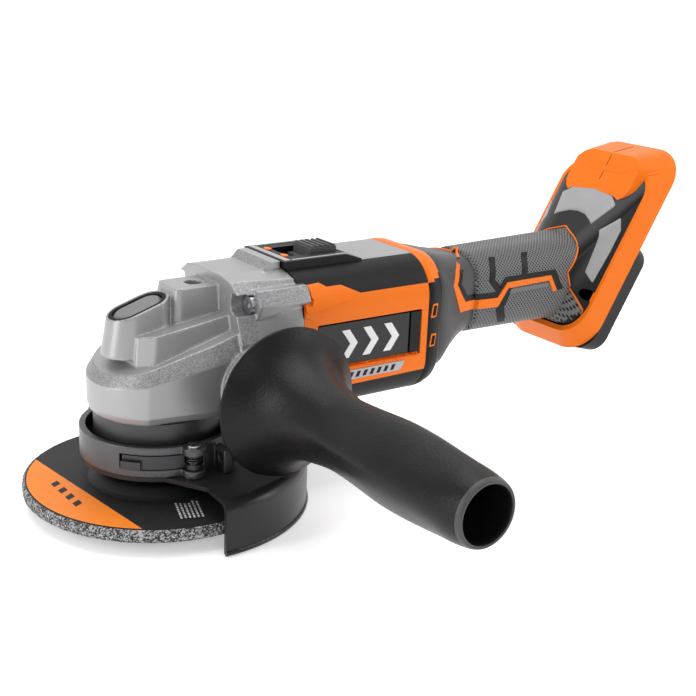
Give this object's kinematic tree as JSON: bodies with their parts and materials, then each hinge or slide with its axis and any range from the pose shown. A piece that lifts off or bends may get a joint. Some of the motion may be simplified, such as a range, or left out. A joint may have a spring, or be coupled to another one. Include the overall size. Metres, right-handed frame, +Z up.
{
  "type": "angle grinder",
  "caption": "Cordless angle grinder, bare tool: gear head with depressed-centre wheel, turning guard and side handle, slide switch and battery foot.",
  "frame": {"origin": "free lower end of the spindle, on the spindle's axis", "axes": "+Z up the spindle into the gear case, +X back along the motor to the battery foot, side handle along -Y"},
  "size_m": [0.3744, 0.2623, 0.1492],
  "materials": {
    "cast_alloy": "bead blasted die casting",
    "dark_casting": "dark coated casting",
    "black_sheet": "satin black paint",
    "dark_steel": "blackened steel",
    "bright_steel": "ground steel",
    "zinc_steel": "bright zinc plate",
    "abrasive": "bonded grain",
    "label_paper": "printed paper",
    "orange_plastic": "moulded, fine texture",
    "black_plastic": "moulded, fine texture",
    "grey_plastic": "satin moulded",
    "plate_plastic": "gloss moulded",
    "grip_rubber": "textured elastomer",
    "seal_rubber": "smooth elastomer",
    "copper": "enamelled wire",
    "lamination": "stacked laminations",
    "magnet": "nickel plate",
    "board_green": "potted board"
  },
  "bodies": {
    "tool": {"gear_case": "cast_alloy", "bearing_cover": "dark_casting", "cover_screws": "dark_steel", "spindle_bush": "bright_steel", "case_screws": "zinc_steel", "handle_screws": "zinc_steel", "spindle_bearing_outer": "zinc_steel", "front_motor_bearing": "zinc_steel", "rear_motor_bearing": "zinc_steel", "side_panel_left": "orange_plastic", "side_panel_right": "orange_plastic", "collar_ring": "orange_plastic", "foot_hood_left": "orange_plastic", "foot_hood_right": "orange_plastic", "motor_housing": "black_plastic", "fan_baffle": "black_plastic", "side_clips": "black_plastic", "switch_frame": "black_plastic", "battery_rails": "black_plastic", "terminal_block": "black_plastic", "microswitch": "black_plastic", "top_cover": "grey_plastic", "foot_panels": "grey_plastic", "handle_shell_left": "grey_plastic", "handle_shell_right": "grey_plastic", "side_plate_left": "plate_plastic", "side_plate_right": "plate_plastic", "grip_sleeve_left": "grip_rubber", "grip_sleeve_right": "grip_rubber", "button_seal": "seal_rubber", "stator_windings": "copper", "terminal_blades": "copper", "stator_core": "lamination", "control_board": "board_green"},
    "spindle": {"spindle": "bright_steel", "ring_gear": "bright_steel", "spindle_bearing_inner": "zinc_steel", "inner_flange": "dark_steel", "grinding_wheel": "abrasive", "wheel_bush": "bright_steel", "wheel_label": "label_paper", "lock_nut": "dark_steel"},
    "rotor": {"motor_shaft": "bright_steel", "pinion": "bright_steel", "rotor_core": "lamination", "rotor_magnets": "magnet", "fan": "black_plastic"},
    "guard": {"guard_shell": "black_sheet", "guard_collar": "dark_casting", "latch_pin": "bright_steel"},
    "latch": {"guard_latch": "dark_steel", "latch_spring": "dark_steel"},
    "lock": {"lock_button": "dark_casting", "lock_pin": "bright_steel", "lock_spring": "bright_steel"},
    "slider": {"switch_slider": "black_plastic"},
    "link": {"switch_link": "black_plastic"},
    "handle_washer": {"side_handle_washer": "seal_rubber"},
    "side_handle": {"side_handle": "grip_rubber", "side_handle_stud": "dark_steel"}
  },
  "joints": [
    {"name": "spindle_spin", "type": "hinge", "parent": "tool", "child": "spindle", "pos_m": [0, 0, 0], "axis": [0, 0, 1], "continuous": true},
    {"name": "motor_spin", "type": "hinge", "parent": "tool", "child": "rotor", "pos_m": [0, 0, 0.071], "axis": [1, 0, 0], "continuous": true},
    {"name": "guard_turn", "type": "hinge", "parent": "tool", "child": "guard", "pos_m": [0, 0, 0], "axis": [0, 0, 1], "range_deg": [-90, 90]},
    {"name": "latch_press", "type": "hinge", "parent": "guard", "child": "latch", "pos_m": [-0.0013, -0.03728, 0], "axis": [0, 0, 1], "range_deg": [0, 10], "stiffness_Nm_per_rad": 0.05, "springref_deg": -5.73, "deforming": ["latch_spring"]},
    {"name": "lock_press", "type": "slide", "parent": "tool", "child": "lock", "axis": [0, 0, -1], "range_m": [0, 0.006], "stiffness_N_per_m": 400, "springref_m": -0.003, "deforming": ["lock_spring"]},
    {"name": "switch_slide", "type": "slide", "parent": "tool", "child": "slider", "axis": [-1, 0, 0], "range_m": [0, 0.009], "stiffness_N_per_m": 300, "springref_m": -0.003},
    {"name": "link_slide", "type": "slide", "parent": "tool", "child": "link", "axis": [-1, 0, 0], "range_m": [0, 0.009]},
    {"name": "handle_lift", "type": "slide", "parent": "tool", "child": "handle_washer", "axis": [0, -1, 0], "range_m": [0, 0.005]},
    {"name": "handle_screw", "type": "hinge", "parent": "handle_washer", "child": "side_handle", "pos_m": [0.034, 0, 0.0582], "axis": [0, -1, 0], "range_deg": [0, 1440]}
  ],
  "couplings": [
    {"joint": "motor_spin", "follows": "spindle_spin", "ratio": 3.4545},
    {"joint": "link_slide", "follows": "switch_slide", "ratio": 1},
    {"joint": "handle_lift", "follows": "handle_screw", "m_per_rad": 0.00019894}
  ]
}
